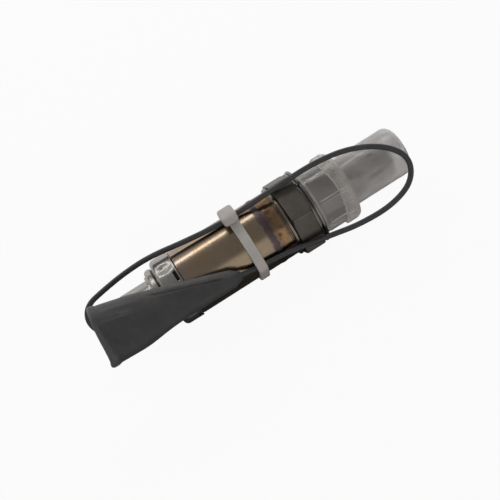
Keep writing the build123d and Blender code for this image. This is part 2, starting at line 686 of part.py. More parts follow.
os.makedirs("parts", exist_ok=True)
print("rest pitch", round(rest_pitch(), 4), "roll", round(rest_roll(), 4))
for piece in PIECES:
    export_step(lay_down(piece()), "parts/" + piece.__name__ + ".step")
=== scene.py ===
"""Looks of the oxygen sensor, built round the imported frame. Lengths here are in millimetres in the
sensor's own directions: x along its axis from the seat towards the tip, z towards the side where the
boot lies, y across. lay() turns them to the frame's directions, in metres, as the solids are turned."""

import math

import bmesh
import bpy
import numpy as np
from mathutils import Matrix, Vector, noise


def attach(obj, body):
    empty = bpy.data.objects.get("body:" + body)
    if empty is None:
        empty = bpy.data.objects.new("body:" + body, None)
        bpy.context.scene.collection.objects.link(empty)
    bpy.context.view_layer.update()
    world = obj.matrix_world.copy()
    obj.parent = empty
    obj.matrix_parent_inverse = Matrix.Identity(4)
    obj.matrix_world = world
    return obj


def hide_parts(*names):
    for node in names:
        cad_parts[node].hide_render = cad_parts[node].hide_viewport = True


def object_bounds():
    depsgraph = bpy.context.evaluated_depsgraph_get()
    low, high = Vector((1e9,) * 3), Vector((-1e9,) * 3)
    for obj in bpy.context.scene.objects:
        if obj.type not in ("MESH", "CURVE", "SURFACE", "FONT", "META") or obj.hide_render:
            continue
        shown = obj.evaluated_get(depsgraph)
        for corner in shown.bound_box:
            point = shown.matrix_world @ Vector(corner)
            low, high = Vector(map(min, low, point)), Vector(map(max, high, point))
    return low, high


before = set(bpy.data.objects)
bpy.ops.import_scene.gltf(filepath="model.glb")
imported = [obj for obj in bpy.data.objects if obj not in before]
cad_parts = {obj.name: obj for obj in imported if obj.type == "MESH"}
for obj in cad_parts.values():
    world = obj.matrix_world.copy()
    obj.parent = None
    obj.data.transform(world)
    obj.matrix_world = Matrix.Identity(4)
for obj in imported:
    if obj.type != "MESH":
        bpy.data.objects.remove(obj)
cad_low, cad_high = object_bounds()

MM = 0.001
# How the solids lie at rest
PITCH = math.radians(1.56678)
ROLL = math.radians(27.20515)
LAY = Matrix.Rotation(-PITCH, 4, "Y") @ Matrix.Rotation(ROLL, 4, "X")
UNLAY = LAY.inverted()
SENSOR, CAP = "sensor", "cap"
TAU = 2 * math.pi
SLEEVE_R = 10.2


def lay(p):
    return LAY @ (Vector(p) * MM)


def from_axis(vertex):
    """A mesh point's x, its angle round the axis from +y, and its distance from the axis."""
    x, y, z = UNLAY @ vertex.co / MM
    return x, math.atan2(z, y), math.hypot(y, z)


def unit(value):
    """The value, held between 0 and 1."""
    return min(1.0, max(0.0, value))


def bell(value, width):
    return math.exp(-(value / width) ** 2)


def angle_gap(a, b):
    return (a - b + math.pi) % TAU - math.pi


def nearest(a, angles):
    return min(abs(angle_gap(a, b)) for b in angles)


def from_z(degrees, count=1):
    """Angles measured from the z side towards +y, as angles from +y."""
    return [math.radians(90 - degrees - k * 360 / count) for k in range(count)]


# Camera: looks down the sensor's z, tilted a little towards its tip, and rolled about its view line

VIEW_TILT = math.radians(4.55)
VIEW_ROLL = math.radians(32.3)
IMAGE_PX, FOCAL_PX = 500, 840.0
# Where the seat shows in the picture, and how far from the camera it is
SEAT_PX, DEPTH = (308.2, 205.0), 244.7
FILM_WIDTH = 36


def place_camera():
    back = Vector((-math.sin(VIEW_TILT), 0, math.cos(VIEW_TILT)))
    along = Vector((math.cos(VIEW_TILT), 0, math.sin(VIEW_TILT)))
    down = Vector((0, -1, 0))
    right = math.cos(VIEW_ROLL) * along + math.sin(VIEW_ROLL) * down
    up = math.sin(VIEW_ROLL) * along - math.cos(VIEW_ROLL) * down
    per_px = DEPTH / FOCAL_PX
    middle = IMAGE_PX / 2
    spot = back * DEPTH - right * (SEAT_PX[0] - middle) * per_px - up * (middle - SEAT_PX[1]) * per_px
    cam = bpy.data.objects.new("camera", bpy.data.cameras.new("camera"))
    bpy.context.scene.collection.objects.link(cam)
    turn = Matrix((right, up, back)).transposed().to_4x4()
    cam.matrix_world = Matrix.Translation(lay(spot)) @ LAY.to_3x3().to_4x4() @ turn
    cam.data.sensor_width = FILM_WIDTH
    cam.data.lens = FOCAL_PX / IMAGE_PX * FILM_WIDTH
    cam.data.clip_start, cam.data.clip_end = 0.01, 20
    bpy.context.scene.camera = cam


place_camera()


# Materials

class Graph:
    """A node tree, with short ways to add its nodes and join them."""

    def __init__(self, owner):
        owner.use_nodes = True
        self.nodes, self.join = owner.node_tree.nodes, owner.node_tree.links.new

    def add(self, kind):
        return self.nodes.new("ShaderNode" + kind)

    def feed(self, socket, value):
        """Gives a socket a number, a colour, or what another node puts out."""
        if isinstance(value, (int, float)):
            socket.default_value = value
        elif isinstance(value, tuple):
            socket.default_value = (*value, 1)
        else:
            self.join(value, socket)

    def coords(self, scale=(1, 1, 1), along_axis=True):
        """Object coordinates in millimetres, turned so that x runs along the sensor's axis."""
        mapping = self.add("Mapping")
        mapping.inputs["Rotation"].default_value = (0, PITCH if along_axis else 0, 0)
        mapping.inputs["Scale"].default_value = (1 / MM, 1 / MM, 1 / MM)
        self.join(self.add("TexCoord").outputs["Object"], mapping.inputs["Vector"])
        if scale == (1, 1, 1):
            return mapping.outputs["Vector"]
        second = self.add("Mapping")
        second.inputs["Scale"].default_value = scale
        self.join(mapping.outputs["Vector"], second.inputs["Vector"])
        return second.outputs["Vector"]

    def noise(self, vector, scale, detail, rough):
        node = self.add("TexNoise")
        for key, value in (("Scale", scale), ("Detail", detail), ("Roughness", rough)):
            node.inputs[key].default_value = value
        self.join(vector, node.inputs["Vector"])
        return node.outputs["Fac"]

    def ramp(self, fac, stops):
        node = self.add("ValToRGB")
        elements = node.color_ramp.elements
        while len(elements) < len(stops):
            elements.new(0.5)
        for element, (place, colour) in zip(elements, stops):
            element.position = place
            element.color = (*colour, 1)
        self.join(fac, node.inputs["Fac"])
        return node.outputs["Color"]

    def mix(self, fac, a, b, blend="MIX"):
        node = self.add("Mix")
        node.data_type = "RGBA"
        node.blend_type = blend
        for index, value in ((0, fac), (6, a), (7, b)):
            self.feed(node.inputs[index], value)
        return node.outputs[2]

    def mix_shaders(self, fac, a, b):
        node = self.add("MixShader")
        self.feed(node.inputs["Fac"], fac)
        self.join(a, node.inputs[1])
        self.join(b, node.inputs[2])
        return node.outputs["Shader"]

    def calc(self, operation, *values):
        node = self.add("Math")
        node.operation = operation
        for socket, value in zip(node.inputs, values):
            self.feed(socket, value)
        return node.outputs[0]

    def times(self, a, b):
        return self.calc("MULTIPLY", a, b)

    def map_range(self, value, from_low, from_high, to_low, to_high):
        node = self.add("MapRange")
        ends = {"From Min": from_low, "From Max": from_high, "To Min": to_low, "To Max": to_high}
        for key, end in ends.items():
            node.inputs[key].default_value = end
        self.join(value, node.inputs["Value"])
        return node.outputs["Result"]

    def bump(self, bsdf, height, strength, distance):
        """Roughens a shader by a height of up to distance, in millimetres."""
        node = self.add("Bump")
        node.inputs["Strength"].default_value = strength
        node.inputs["Distance"].default_value = distance * MM
        self.join(height, node.inputs["Height"])
        self.join(node.outputs["Normal"], bsdf.inputs["Normal"])
        return node.outputs["Normal"]

    def part_of(self, vector, axis):
        """One of a vector's three parts, X, Y or Z."""
        node = self.add("SeparateXYZ")
        self.join(vector, node.inputs["Vector"])
        return node.outputs[axis]

    def value_of(self, name):
        """A value that the mesh carries at its points, 0 where it has none."""
        node = self.add("Attribute")
        node.attribute_name = name
        return node.outputs["Fac"]

    def finish_with(self, shader):
        self.join(shader, self.nodes["Material Output"].inputs["Surface"])


def new_material(name):
    mat = bpy.data.materials.new(name)
    g = Graph(mat)
    return mat, g, g.nodes["Principled BSDF"]


def metal(name, base, rough, vary=0.12, grain=(6, 0.4, 0.4), bump_by=0.006, spots=None):
    """A metal with drawn or turned marks, uneven tone and roughness; near black where the mesh carries
    painted shade.
    """
    mat, g, bsdf = new_material(name)
    bsdf.inputs["Metallic"].default_value = 1.0
    plain = g.coords()
    cloud = g.noise(plain, 0.22, 4, 0.6)
    dark = tuple(c * (1 - vary) for c in base)
    light = tuple(c * (1 + vary) for c in base)
    colour = g.ramp(cloud, [(0.3, dark), (0.7, light)])
    if spots:
        speck = g.noise(plain, 1.6, 2, 0.7)
        mask = g.ramp(speck, [(0.62, (0, 0, 0)), (0.72, (1, 1, 1))])
        colour = g.mix(mask, colour, spots)
    # Painted shade: near black where the mesh's value says so, inside the ferrule's vents.
    colour = g.mix(g.value_of("painted_shade"), colour, (0.03, 0.026, 0.032))
    g.join(colour, bsdf.inputs["Base Color"])
    lines = g.noise(g.coords(grain), 3.0, 4, 0.6)
    g.join(g.map_range(lines, 0.3, 0.7, rough * 0.8, rough * 1.25), bsdf.inputs["Roughness"])
    g.bump(bsdf, lines, 0.5, bump_by)
    return mat


# Centre of a small burnt spot on the sleeve, and the stretch of x that the tint covers
PIT_SPOT = Matrix.Rotation(ROLL, 4, "X") @ Vector((-12.75, -2.9, 9.78))
TINT_FROM, TINT_TO = -43.0, -9.0


def sleeve_material():
    """Bronze to gold heat tint along the sleeve, dark violet at the weld, orange next to the hexagon."""
    mat, g, bsdf = new_material("heat_tint_metal")
    bsdf.inputs["Metallic"].default_value = 1.0
    plain = g.coords()
    along = g.part_of(plain, "X")
    wobble = g.noise(g.coords((0.15, 0.5, 0.5)), 1.0, 3, 0.6)
    shifted = g.calc("ADD", along, g.times(g.calc("SUBTRACT", wobble, 0.5), 2.0))
    place = g.map_range(shifted, TINT_FROM, TINT_TO, 0.0, 1.0)
    tint = g.ramp(place, [((x - TINT_FROM) / (TINT_TO - TINT_FROM), colour) for x, colour in (
        (-42.6, (0.34, 0.27, 0.22)), (-34, (0.33, 0.255, 0.185)), (-22, (0.315, 0.25, 0.165)),
        (-16.4, (0.30, 0.235, 0.165)), (-15.8, (0.13, 0.095, 0.10)), (-14.3, (0.10, 0.075, 0.078)),
        (-13.7, (0.20, 0.145, 0.105)), (-11.8, (0.26, 0.17, 0.095)), (-10.7, (0.25, 0.19, 0.11)),
        (-9.9, (0.13, 0.095, 0.085)),
    )])
    cloud = g.noise(plain, 0.16, 4, 0.65)
    tone = g.ramp(cloud, [(0.3, (0.88, 0.84, 0.86)), (0.5, (1, 1, 1)), (0.72, (1.0, 0.93, 0.82))])
    colour = g.mix(1.0, tint, tone, "MULTIPLY")
    stain = g.noise(plain, 0.55, 3, 0.55)
    stained = g.ramp(stain, [(0.38, (0.62, 0.60, 0.66)), (0.5, (0.95, 0.92, 0.9)),
                             (0.62, (1.25, 1.05, 0.95))])
    burnt = g.map_range(shifted, -13.9, -13.2, 0.0, 1.0)
    colour = g.mix(burnt, colour, g.mix(1.0, colour, stained, "MULTIPLY"))
    pit = g.add("VectorMath")
    pit.operation = "DISTANCE"
    g.join(plain, pit.inputs[0])
    pit.inputs[1].default_value = PIT_SPOT
    hole = g.ramp(pit.outputs["Value"], [(0.35, (1, 1, 1)), (0.75, (0, 0, 0))])
    colour = g.mix(g.times(hole, 0.8), colour, (0.10, 0.045, 0.02))
    speck = g.noise(plain, 1.1, 2, 0.7)
    mask = g.ramp(speck, [(0.66, (0, 0, 0)), (0.74, (1, 1, 1))])
    colour = g.mix(g.times(mask, 0.35), colour, (0.18, 0.11, 0.07))
    g.join(colour, bsdf.inputs["Base Color"])
    lines = g.noise(g.coords((5, 0.3, 0.3)), 2.0, 4, 0.6)
    smooth = g.map_range(lines, 0.3, 0.7, 0.19, 0.27)
    welded = g.times(g.map_range(shifted, -16.0, -15.6, 0.0, 1.0),
                     g.map_range(shifted, -14.3, -13.9, 1.0, 0.0))
    g.join(g.calc("ADD", smooth, g.times(welded, 0.22)), bsdf.inputs["Roughness"])
    g.bump(bsdf, lines, 0.35, 0.004)
    return mat


def soft_plastic(name, base, rough, vary=0.15, bump_by=0.02, fine=2.5, sheen=0.0, subsurface=0.0):
    """Rubber, nylon or ceramic: slight mottling, fine grain; paler where the mesh carries painted sheen.
    """
    mat, g, bsdf = new_material(name)
    plain = g.coords(along_axis=False)
    cloud = g.noise(plain, 0.3, 4, 0.6)
    dark = tuple(c * (1 - vary) for c in base)
    light = tuple(c * (1 + vary) for c in base)
    colour = g.ramp(cloud, [(0.3, dark), (0.7, light)])
    # Painted sheen: paler where the mesh's value says so, on the boot's upper side.
    g.join(g.mix(g.value_of("painted_sheen"), colour, (0.115, 0.107, 0.106)), bsdf.inputs["Base Color"])
    grain = g.noise(plain, fine, 5, 0.65)
    g.join(g.map_range(grain, 0.3, 0.7, rough * 0.88, rough * 1.12), bsdf.inputs["Roughness"])
    bsdf.inputs["Sheen Weight"].default_value = sheen
    if subsurface:
        bsdf.inputs["Subsurface Weight"].default_value = subsurface
        bsdf.inputs["Subsurface Scale"].default_value = 0.001
    g.bump(bsdf, grain, 0.5, bump_by)
    return mat


# The stretch of x over which the cap turns cloudy towards its tip
CAP_CLOUDS_OVER = (8.0, 12.0)


def cap_material():
    """Frosted polyethylene: see-through but cloudy, whiter on its edges and along a painted highlight
    line, where the mesh's value says so.
    """
    mat, g, bsdf = new_material("frosted_polyethylene")
    plain = g.coords()
    cloud = g.noise(plain, 0.35, 4, 0.6)
    body = g.ramp(cloud, [(0.3, (0.68, 0.675, 0.675)), (0.7, (0.86, 0.84, 0.82))])
    g.join(body, bsdf.inputs["Base Color"])
    grain = g.noise(plain, 1.6, 4, 0.6)
    place = g.part_of(plain, "X")
    blur = g.map_range(place, *CAP_CLOUDS_OVER, 0.17, 0.42)
    g.join(g.times(blur, g.map_range(grain, 0.3, 0.7, 0.85, 1.15)), bsdf.inputs["Roughness"])
    for key, value in (("Transmission Weight", 0.92), ("IOR", 1.3), ("Coat Weight", 0.7),
                       ("Coat Roughness", 0.14)):
        bsdf.inputs[key].default_value = value
    normal = g.bump(bsdf, grain, 0.3, 0.006)
    milk, glow = g.add("BsdfDiffuse"), g.add("BsdfTranslucent")
    for shader in (milk, glow):
        shader.inputs["Color"].default_value = (0.88, 0.835, 0.795, 1)
        g.join(normal, shader.inputs["Normal"])
    both = g.mix_shaders(0.4, milk.outputs["BSDF"], glow.outputs["BSDF"])
    haze = g.times(g.map_range(cloud, 0.3, 0.7, 0.6, 1.4),
                   g.map_range(place, *CAP_CLOUDS_OVER, 0.025, 0.09))
    amount = g.calc("ADD", haze, g.times(g.value_of("frost_and_glint"), 0.6))
    g.finish_with(g.mix_shaders(amount, bsdf.outputs["BSDF"], both))
    return mat


MATERIALS = {
    "sleeve": sleeve_material(),
    "shell": metal("phosphated_steel", (0.128, 0.118, 0.102), 0.46, 0.14, (0.5, 2.5, 2.5), 0.008,
                   (0.10, 0.08, 0.06)),
    "thread": metal("thread_steel", (0.11, 0.112, 0.122), 0.36, 0.15, (3, 0.6, 0.6), 0.006),
    "rim": metal("rim_steel", (0.21, 0.18, 0.14), 0.28, 0.15, (1, 1, 1), 0.006),
    "gasket": metal("pressed_ring_steel", (0.21, 0.20, 0.19), 0.24, 0.15),
    "bright": metal("bright_drawn_steel", (0.35, 0.335, 0.32), 0.32, 0.08, (5, 0.3, 0.3), 0.003),
    "shield": metal("shield_steel", (0.42, 0.41, 0.40), 0.34, 0.12),
    "inner": metal("inner_steel", (0.5, 0.49, 0.46), 0.35, 0.1),
    "tin": metal("tinned_brass", (0.74, 0.70, 0.60), 0.3, 0.12, (1, 1, 1), 0.008),
    "ceramic": soft_plastic("fired_ceramic", (0.72, 0.70, 0.64), 0.55, 0.05, 0.01),
    "ptfe": soft_plastic("porous_ptfe", (0.80, 0.80, 0.78), 0.6, 0.05, 0.02),
    "grommet": soft_plastic("grommet_rubber", (0.03, 0.03, 0.03), 0.6, 0.2, 0.02),
    "lead": soft_plastic("lead_cover", (0.041, 0.039, 0.043), 0.45, 0.2, 0.01, 3.5),
    "boot": soft_plastic("boot_rubber", (0.045, 0.044, 0.0445), 0.58, 0.18, 0.03, 1.8, 0.1),
    "tie": soft_plastic("nylon", (0.54, 0.51, 0.48), 0.42, 0.05, 0.01, 2.0, 0.0, 0.15),
    "cap": cap_material(),
}


# Mesh helpers

def add_piece(name, verts, faces, body, material, sharp=32.0):
    mesh = bpy.data.meshes.new(name)
    mesh.from_pydata([tuple(lay(v)) for v in verts], [], faces)
    bm = bmesh.new()
    bm.from_mesh(mesh)
    bmesh.ops.remove_doubles(bm, verts=bm.verts, dist=1e-7)
    bmesh.ops.recalc_face_normals(bm, faces=bm.faces)
    bm.to_mesh(mesh)
    bm.free()
    mesh.shade_smooth()
    mesh.set_sharp_from_angle(angle=math.radians(sharp))
    mesh.materials.append(MATERIALS[material])
    obj = bpy.data.objects.new(name, mesh)
    bpy.context.scene.collection.objects.link(obj)
    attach(obj, body)
    return obj


def rounded(points, steps=7):
    """A profile with its corners rounded: points are (x, r) or (x, r, radius)."""
    out = []
    n = len(points)
    for i, p in enumerate(points):
        if len(p) == 2 or p[2] <= 0:
            out.append((p[0], p[1]))
            continue
        here = np.array(p[:2], float)
        a = np.array(points[(i - 1) % n][:2], float) - here
        b = np.array(points[(i + 1) % n][:2], float) - here
        la, lb = np.linalg.norm(a), np.linalg.norm(b)
        a, b = a / la, b / lb
        half = math.acos(max(-1, min(1, float(a @ b)))) / 2
        cut = min(p[2] / math.tan(half), la * 0.98, lb * 0.98)
        radius = cut * math.tan(half)
        centre = here + (a + b) / np.linalg.norm(a + b) * (radius / math.sin(half))
        start, end = here + a * cut - centre, here + b * cut - centre
        a0 = math.atan2(start[1], start[0])
        turn = math.atan2(end[1], end[0]) - a0
        turn = (turn + math.pi) % TAU - math.pi
        for k in range(steps + 1):
            t = a0 + turn * k / steps
            out.append((centre[0] + radius * math.cos(t), centre[1] + radius * math.sin(t)))
    return out


def split_long(profile, step):
    """Adds rows to a profile's long straights, so that shapes can be pressed into them."""
    out = []
    for a, b in zip(profile, profile[1:]):
        n = max(1, int(math.hypot(b[0] - a[0], b[1] - a[1]) / step))
        out += [(a[0] + (b[0] - a[0]) * k / n, a[1] + (b[1] - a[1]) * k / n) for k in range(n)]
    return out + [profile[-1]]


def turned_faces(rows, segments, closed):
    """Faces between rows of points that follow each other round the axis."""
    faces = []
    for k in range(segments):
        k2 = (k + 1) % segments
        for i in range(rows if closed else rows - 1):
            j = (i + 1) % rows
            faces.append((k * rows + i, k * rows + j, k2 * rows + j, k2 * rows + i))
    return faces


def lathe(name, profile, body, material, segments=192, press=None, closed=True, sharp=32.0):
    """Turns a profile round the axis. press(x, r, angle) moves each point; angles are from +y."""
    verts = []
    for k in range(segments):
        a = TAU * k / segments
        for x, r in profile:
            px, pr = press(x, r, a) if press else (x, r)
            verts.append((px, pr * math.cos(a), pr * math.sin(a)))
    faces = turned_faces(len(profile), segments, closed)
    return add_piece(name, verts, faces, body, material, sharp)


def paint(obj, value_name, value_at):
    """Gives the mesh a value at each point, which its material reads."""
    values = obj.data.attributes.new(value_name, "FLOAT", "POINT")
    for vertex, value in zip(obj.data.vertices, values.data):
        value.value = value_at(vertex)


def loft(name, rings, body, material, sharp, closed_loop=False):
    """Skins rings of equal point count, into a loop or with both ends closed."""
    n, last = len(rings[0]), len(rings) - 1
    verts = [tuple(p) for ring in rings for p in ring]
    faces = []
    for i in range(last + 1 if closed_loop else last):
        i2 = (i + 1) % (last + 1)
        faces += [(i * n + k, i * n + (k + 1) % n, i2 * n + (k + 1) % n, i2 * n + k) for k in range(n)]
    if not closed_loop:
        faces += [tuple(range(n))[::-1], tuple(last * n + k for k in range(n))]
    return add_piece(name, verts, faces, body, material, sharp)


# The free lead: the same points as the solid's route

LEAD_D = 1.6
LEAD_ROUTE = [
    (-61.0, 0.0, 0.0),
    (-62.6, 0.0, 0.0),
    (-66.8, -1.0, -0.25),
    (-70.4, 1.25, 0.35),
    (-71.4, 5.5, 1.45),
    (-68.8, 9.3, 2.45),
    (-62.8, 10.4, 3.25),
    (-55.5, 11.3, 4.4),
    (-47.0, 11.5, 5.35),
    (-36.0, 9.75, 6.3),
    (-26.0, 8.65, 6.95),
    (-18.4, 8.7, 6.9),
    (-11.5, 8.8, 9.4),
    (-4.0, 8.95, 9.9),
    (5.5, 9.0, 11.0),
    (15.5, 7.4, 12.8),
    (24.3, 2.8, 14.1),
    (28.9, -3.6, 14.2),
    (26.0, -10.0, 13.2),
    (18.0, -12.7, 11.4),
    (8.0, -12.4, 9.5),
    (0.0, -10.8, 8.2),
    (-7.5, -9.3, 8.2),
    (-14.5, -8.1, 7.8),
    (-20.5, -7.55, 8.1),
    (-25.0, -7.05, 8.85),
    (-28.2, -6.6, 10.95),
    (-30.7, -6.15, 11.45),
]


def make_lead():
    curve = bpy.data.curves.new("lead", "CURVE")
    curve.dimensions = "3D"
    spline = curve.splines.new("NURBS")
    spline.points.add(len(LEAD_ROUTE) - 1)
    for point, p in zip(spline.points, LEAD_ROUTE):
        point.co = (*lay(p), 1)
    spline.order_u = 3
    spline.use_endpoint_u = True
    spline.resolution_u = 12
    curve.bevel_depth = LEAD_D / 2 * MM
    curve.bevel_resolution = 6
    curve.use_fill_caps = True
    curve.materials.append(MATERIALS["lead"])
    lead = bpy.data.objects.new("lead", curve)
    bpy.context.scene.collection.objects.link(lead)
    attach(lead, SENSOR)
    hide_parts("lead_wire")
    return lead


lead = make_lead()


# Sleeve with its weld seam

WELD_X, WELD_HALF, WELD_HEIGHT = -14.6, 0.88, 0.13


def weld(x, r, a):
    """Raises the weld's rippled bead, which wanders a little along the sleeve."""
    if r < 10.0 or not -17 <= x <= -12:
        return x, r
    wave = noise.noise(Vector((math.cos(a) * 3, math.sin(a) * 3, 0.0)))
    centre = WELD_X + 0.12 * wave
    half = WELD_HALF + 0.10 * noise.noise(Vector((math.cos(a) * 5, math.sin(a) * 5, 4.0)))
    off = abs(x - centre) / half
    bead = max(0.0, 1 - off * off) ** 0.5 * WELD_HEIGHT
    ripple = 0.018 * math.sin(a * 120 + wave * 3) if off < 0.9 else 0.0
    return x, r + bead + ripple * (1 - off)


def make_sleeve():
    outer = rounded([
        (-9.62, 9.7), (-9.62, SLEEVE_R, 0.3), (-42.4, SLEEVE_R, 0.7),
        (-42.4, 8.4), (-47.3, 8.4), (-47.3, 7.8),
    ])
    profile = split_long(outer, 0.35)
    sleeve = lathe("sleeve", profile, SENSOR, "sleeve", 256, weld, closed=False)
    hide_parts("protective_sleeve")


make_sleeve()


# Hexagon, thread and crush ring

HEX_FLAT = 11.0
HEX_CORNER = 2 * HEX_FLAT / math.sqrt(3)
HEX_TURN = math.radians(98.3)
HEX_REAR, HEX_FRONT = -8.25, -1.8
HEX_SOFT, HEX_BLEND = 0.09, 26.0


def hex_radius(a):
    """How far the hexagon's side is from the axis, with its corners a little blunt."""
    off = (a - HEX_TURN) % (math.pi / 3) - math.pi / 6
    straight = HEX_FLAT / math.cos(off)
    blunt = HEX_CORNER - HEX_SOFT
    if straight <= blunt - 0.4:
        return straight
    return -math.log(math.exp(-HEX_BLEND * straight) + math.exp(-HEX_BLEND * blunt)) / HEX_BLEND


def make_hexagon():
    """Its corners slope back at both ends, outside a round face."""
    rear_r, rear_slope = 12.0, 0.3
    front_r, front_slope = 11.8, 0.5
    soft, bore, segments = 0.10, 9.6, 720
    verts = []
    for k in range(segments):
        a = TAU * k / segments
        r = hex_radius(a)
        back = HEX_REAR + max(0.0, (r - rear_r) / (HEX_CORNER - rear_r)) * rear_slope
        fore = HEX_FRONT - max(0.0, (r - front_r) / (HEX_CORNER - front_r)) * front_slope
        edge_b, edge_f = min(r, rear_r), min(r, front_r)
        line = [(HEX_REAR, bore), (HEX_REAR, edge_b - soft), (HEX_REAR + soft * 0.7, edge_b),
                (back + 0.02, r - 0.015), (back + 0.16, r), (fore - 0.12, r), (fore, r - 0.015),
                (HEX_FRONT, edge_f)]
        verts += [(x, q * math.cos(a), q * math.sin(a)) for x, q in line]
    rows = len(line)
    faces = turned_faces(rows, segments, False)
    faces.append(tuple(k * rows + rows - 1 for k in range(segments)))
    faces.append(tuple(k * rows for k in reversed(range(segments))))
    hexagon = add_piece("hexagon", verts, faces, SENSOR, "shell", 24)
    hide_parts("hex_shell")


def make_shoulder():
    """Rounded rim between the sleeve and the hexagon, with a fine groove before the hexagon."""
    profile = rounded([
        (-9.75, 9.7), (-9.75, 10.12), (-9.55, 10.2, 0.15), (-9.45, 10.95, 0.45),
        (HEX_REAR - 0.3, 10.97, 0.3), (HEX_REAR - 0.28, 10.3), (HEX_REAR + 0.1, 10.2),
        (HEX_REAR + 0.1, 9.7),
    ], 6)
    lathe("shoulder", profile, SENSOR, "rim", 256)


def make_thread():
    """One helical ridge that fades at both ends, and the plain nose."""
    pitch, root, crest = 1.5, 8.12, 9.0
    first, last, step = -1.9, 9.4, 0.1
    segments = 180
    xs = [first + step * i for i in range(round((last - first) / step) + 1)]
    nose = [(last, 7.4), (last + 1.0, 7.0), (last + 1.0, 5.7)]
    verts = []
    for k in range(segments):
        a = TAU * k / segments
        line = []
        for x in xs:
            phase = (x / pitch + a / TAU) % 1.0
            ridge = unit(1.35 - abs(phase - 0.5) * 3.1)
            fade = unit((x - 0.9) / 1.1) * unit((9.1 - x) / 0.9)
            line.append((x, root + (crest - root) * ridge * fade - 0.15 * (1 - fade)))
        verts += [(x, r * math.cos(a), r * math.sin(a)) for x, r in line + nose]
    faces = turned_faces(len(xs) + len(nose), segments, False)
    add_piece("thread", verts, faces, SENSOR, "thread", 50)


def make_gasket():
    profile = rounded([
        (-1.78, 9.2), (-1.78, 11.3, 0.15), (-1.35, 11.35, 0.15), (-1.2, 10.8, 0.1), (-0.95, 10.8, 0.1),
        (-0.85, 11.75, 0.35), (-0.05, 11.7, 0.45), (0.0, 10.3), (0.0, 9.2),
    ])
    ring = lathe("gasket", profile, SENSOR, "gasket")
    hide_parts("sealing_gasket")


make_hexagon()
make_shoulder()
make_thread()
make_gasket()


# Rear ferrule

FERRULE_R = 10.5
DIMPLES, DIMPLE_X, DIMPLE_FLAT, DIMPLE_REACH = from_z(37.0, 4), -45.3, 10.15, 2.5
DIMPLE_TILT = math.radians(3.0)
PIT_X, PIT_R, PIT_DEPTH = -45.7, 1.1, 0.17
VENTS, VENT_X, VENT_R, VENT_HALF, VENT_DEPTH = from_z(16.0, 4), -43.2, 0.40, 1.2, 0.55


def dimples_and_vents(x, r, a):
    """Presses flats, each with a shallow pit, and slots round the axis into the ferrule's ring."""
    if r < 10.0 or not -48.0 < x < -42.4:
        return x, r
    for d in DIMPLES:
        across = angle_gap(a, d) * FERRULE_R
        far = math.hypot((x - DIMPLE_X) / 1.25, across)
        if far < DIMPLE_REACH:
            flat = DIMPLE_FLAT / math.cos(angle_gap(a, d - DIMPLE_TILT))
            fade = min(1.0, (DIMPLE_REACH - far) / 1.7)
            r += (flat - r) * fade * fade * (3 - 2 * fade)
        pit = math.hypot(x - PIT_X, across + 0.1)
        if pit < PIT_R:
            r -= PIT_DEPTH * (1 - (pit / PIT_R) ** 2) ** 2
    for v in VENTS:
        reach = max(0.0, abs(angle_gap(a, v)) * FERRULE_R - VENT_HALF)
        far = math.hypot((x - VENT_X) / VENT_R, reach / VENT_R)
        r -= VENT_DEPTH * unit((1.12 - far) / 0.24)
    return x, r


def vent_painted_shade(vertex):
    """Painted shade in the vents: 1 on their walls and floor, 0 elsewhere."""
    x, a, r = from_axis(vertex)
    return float(abs(x - VENT_X) < 0.42 and nearest(a, VENTS) * FERRULE_R < 1.6 and r > 9.0)


def make_ferrule():
    profile = rounded([
        (-42.25, 9.9), (-42.25, 10.6, 0.12), (-48.4, 10.55, 1.5), (-48.4, 8.1, 0.15), (-48.6, 8.1, 0.1),
        (-48.6, 8.95, 0.85), (-51.0, 8.95, 1.1), (-50.9, 6.5, 0.5), (-60.2, 6.5, 0.4), (-60.2, 5.9),
        (-51.5, 5.9), (-51.5, 7.4), (-47.4, 7.4), (-47.4, 9.9),
    ], 9)
    ferrule = lathe("ferrule", split_long(profile, 0.12), SENSOR, "bright", 480,
                    dimples_and_vents, sharp=75)
    # The vents' walls and floor get painted shade.
    paint(ferrule, "painted_shade", vent_painted_shade)
    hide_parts("rear_ferrule")


make_ferrule()


# Boot. Its share runs from 0 at the lead's end to 1 at the mouth. Across it, u and v are measured from
# its middle line, and w and h are half its width and thickness.

BOOT_END_X, BOOT_LENGTH = -30.7, 37.8
# At even steps of the share: y, height over the sleeve, width, thickness
BOOT_STATIONS = np.array([
    (-6.15, 1.25, 5.2, 4.0),
    (-4.50, 2.60, 8.2, 4.9),
    (-2.95, 4.25, 11.3, 6.5),
    (-1.65, 6.35, 14.7, 8.6),
    (-0.75, 9.00, 16.5, 10.3),
])
BOOT_TIP = np.array((-27.9, -6.65, 10.9))
BOOT_WALL = 1.3
BOOT_RINGS, BORE_RINGS = 110, 20
CORNER_POINTS, SIDE_PARTS = 14, 60
MOUTH_FROM, MOUTH_OVER = 0.93, 0.07


def boot_at(share):
    """Centre, width and thickness along the boot, smooth through the stations."""
    table, spans = BOOT_STATIONS, len(BOOT_STATIONS) - 1
    i = min(int(share * spans), spans - 1)
    t = share * spans - i
    p1, p2 = table[i], table[i + 1]
    p0 = table[i - 1] if i > 0 else 2 * p1 - p2
    p3 = table[i + 2] if i < spans - 1 else 2 * p2 - p1
    v = 0.5 * ((2 * p1) + (p2 - p0) * t + (2 * p0 - 5 * p1 + 4 * p2 - p3) * t * t
               + (3 * p1 - p0 - 3 * p2 + p3) * t ** 3)
    return np.array((BOOT_END_X - share * BOOT_LENGTH, v[0], SLEEVE_R + v[1])), v[2], v[3]


def boot_ridges(share, edge, wide_1, wide_2):
    """Two short ridges that spread a little towards the upper edge near the mouth."""
    before = 0.9 - share
    return bell(edge + 2.4 + 1.5 * before, wide_1) + bell(edge + 4.4 + 2.0 * before, wide_2)


